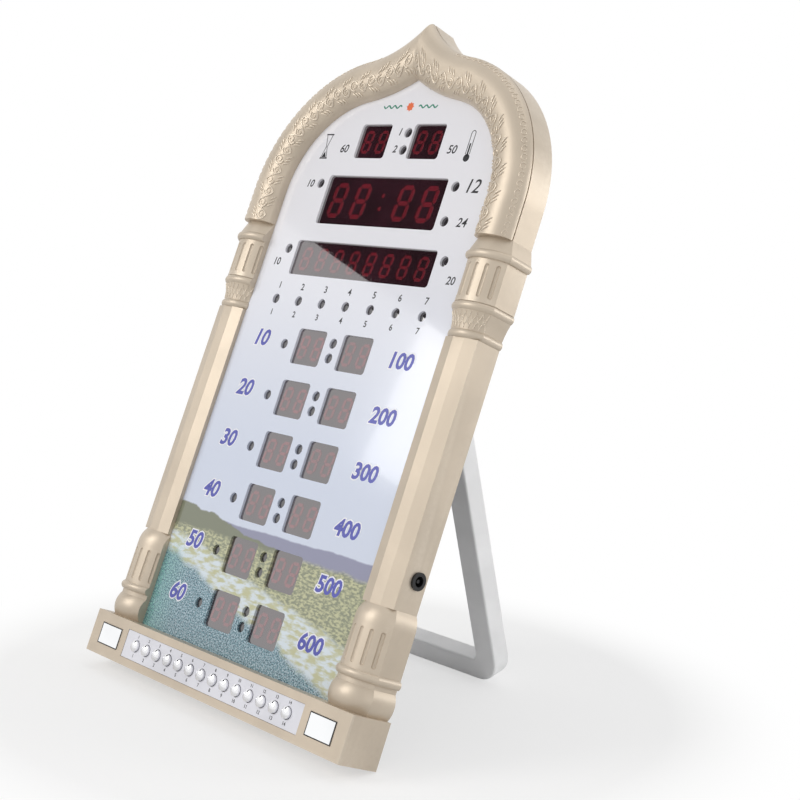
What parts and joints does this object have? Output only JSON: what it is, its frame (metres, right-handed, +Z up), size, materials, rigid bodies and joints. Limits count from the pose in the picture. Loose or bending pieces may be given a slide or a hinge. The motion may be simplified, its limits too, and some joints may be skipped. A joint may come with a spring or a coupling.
{
  "type": "digital azan clock",
  "caption": "Arched prayer-times desk clock in champagne casing with columns, LED windows, key row in the plinth and a folding rear stand.",
  "frame": {"origin": "middle of the bounding box's underside, with the clock leaning back on its opened stand as pictured", "axes": "+Z up, -Y towards the viewer of the dial, +X to the right of the dial"},
  "size_m": [0.23, 0.1906, 0.3851],
  "materials": {
    "champagne": "satin champagne paint",
    "dark_plastic": "fine texture",
    "printed_sheet": "glossy print",
    "dark_filter": "dark red tinted",
    "board": "green solder mask",
    "lamp_resin": "red diffused resin",
    "black_plastic": "moulded",
    "speaker_metal": "pressed metal",
    "steel": "zinc plated",
    "printed_strip": "printed strip",
    "mirror": "silvered",
    "nickel": "nickel plated",
    "grey_plastic": "light grey moulded",
    "key_chrome": "bright plated",
    "clear_black": "potted digit module"
  },
  "bodies": {
    "clock": {"back_cover": "dark_plastic", "backup_cell": "steel", "cell_holder": "black_plastic", "countdown_digits": "clear_black", "cover_screws": "steel", "date_digits": "clear_black", "dc_socket": "black_plastic", "dc_socket_nut": "nickel", "display_filter": "dark_filter", "face_panel": "printed_sheet", "front_frame": "champagne", "indicator_leds": "lamp_resin", "ir_receiver": "black_plastic", "key_board": "board", "label_strip": "printed_strip", "main_board": "board", "mirror_tile_left": "mirror", "mirror_tile_right": "mirror", "row_digits_1": "clear_black", "row_digits_2": "clear_black", "row_digits_3": "clear_black", "row_digits_4": "clear_black", "row_digits_5": "clear_black", "row_digits_6": "clear_black", "speaker": "speaker_metal", "stand_pins": "steel", "tact_switches": "black_plastic", "temperature_digits": "clear_black", "time_digits": "clear_black"},
    "stand": {"stand": "grey_plastic"},
    "button_01": {"button_cap_01": "key_chrome"},
    "button_02": {"button_cap_02": "key_chrome"},
    "button_03": {"button_cap_03": "key_chrome"},
    "button_04": {"button_cap_04": "key_chrome"},
    "button_05": {"button_cap_05": "key_chrome"},
    "button_06": {"button_cap_06": "key_chrome"},
    "button_07": {"button_cap_07": "key_chrome"},
    "button_08": {"button_cap_08": "key_chrome"},
    "button_09": {"button_cap_09": "key_chrome"},
    "button_10": {"button_cap_10": "key_chrome"},
    "button_11": {"button_cap_11": "key_chrome"},
    "button_12": {"button_cap_12": "key_chrome"},
    "button_13": {"button_cap_13": "key_chrome"},
    "button_14": {"button_cap_14": "key_chrome"}
  },
  "joints": [
    {"name": "stand_fold", "type": "hinge", "parent": "clock", "child": "stand", "pos_m": [0, 0.02153, 0.22388], "axis": [-1, 0, 0], "range_deg": [0, 37.2]},
    {"name": "press_01", "type": "slide", "parent": "clock", "child": "button_01", "axis": [0, 0.9384, -0.3454], "range_m": [0, 0.0007], "stiffness_N_per_m": 1500, "springref_m": -0.0005},
    {"name": "press_02", "type": "slide", "parent": "clock", "child": "button_02", "axis": [0, 0.9384, -0.3454], "range_m": [0, 0.0007], "stiffness_N_per_m": 1500, "springref_m": -0.0005},
    {"name": "press_03", "type": "slide", "parent": "clock", "child": "button_03", "axis": [0, 0.9384, -0.3454], "range_m": [0, 0.0007], "stiffness_N_per_m": 1500, "springref_m": -0.0005},
    {"name": "press_04", "type": "slide", "parent": "clock", "child": "button_04", "axis": [0, 0.9384, -0.3454], "range_m": [0, 0.0007], "stiffness_N_per_m": 1500, "springref_m": -0.0005},
    {"name": "press_05", "type": "slide", "parent": "clock", "child": "button_05", "axis": [0, 0.9384, -0.3454], "range_m": [0, 0.0007], "stiffness_N_per_m": 1500, "springref_m": -0.0005},
    {"name": "press_06", "type": "slide", "parent": "clock", "child": "button_06", "axis": [0, 0.9384, -0.3454], "range_m": [0, 0.0007], "stiffness_N_per_m": 1500, "springref_m": -0.0005},
    {"name": "press_07", "type": "slide", "parent": "clock", "child": "button_07", "axis": [0, 0.9384, -0.3454], "range_m": [0, 0.0007], "stiffness_N_per_m": 1500, "springref_m": -0.0005},
    {"name": "press_08", "type": "slide", "parent": "clock", "child": "button_08", "axis": [0, 0.9384, -0.3454], "range_m": [0, 0.0007], "stiffness_N_per_m": 1500, "springref_m": -0.0005},
    {"name": "press_09", "type": "slide", "parent": "clock", "child": "button_09", "axis": [0, 0.9384, -0.3454], "range_m": [0, 0.0007], "stiffness_N_per_m": 1500, "springref_m": -0.0005},
    {"name": "press_10", "type": "slide", "parent": "clock", "child": "button_10", "axis": [0, 0.9384, -0.3454], "range_m": [0, 0.0007], "stiffness_N_per_m": 1500, "springref_m": -0.0005},
    {"name": "press_11", "type": "slide", "parent": "clock", "child": "button_11", "axis": [0, 0.9384, -0.3454], "range_m": [0, 0.0007], "stiffness_N_per_m": 1500, "springref_m": -0.0005},
    {"name": "press_12", "type": "slide", "parent": "clock", "child": "button_12", "axis": [0, 0.9384, -0.3454], "range_m": [0, 0.0007], "stiffness_N_per_m": 1500, "springref_m": -0.0005},
    {"name": "press_13", "type": "slide", "parent": "clock", "child": "button_13", "axis": [0, 0.9384, -0.3454], "range_m": [0, 0.0007], "stiffness_N_per_m": 1500, "springref_m": -0.0005},
    {"name": "press_14", "type": "slide", "parent": "clock", "child": "button_14", "axis": [0, 0.9384, -0.3454], "range_m": [0, 0.0007], "stiffness_N_per_m": 1500, "springref_m": -0.0005}
  ]
}
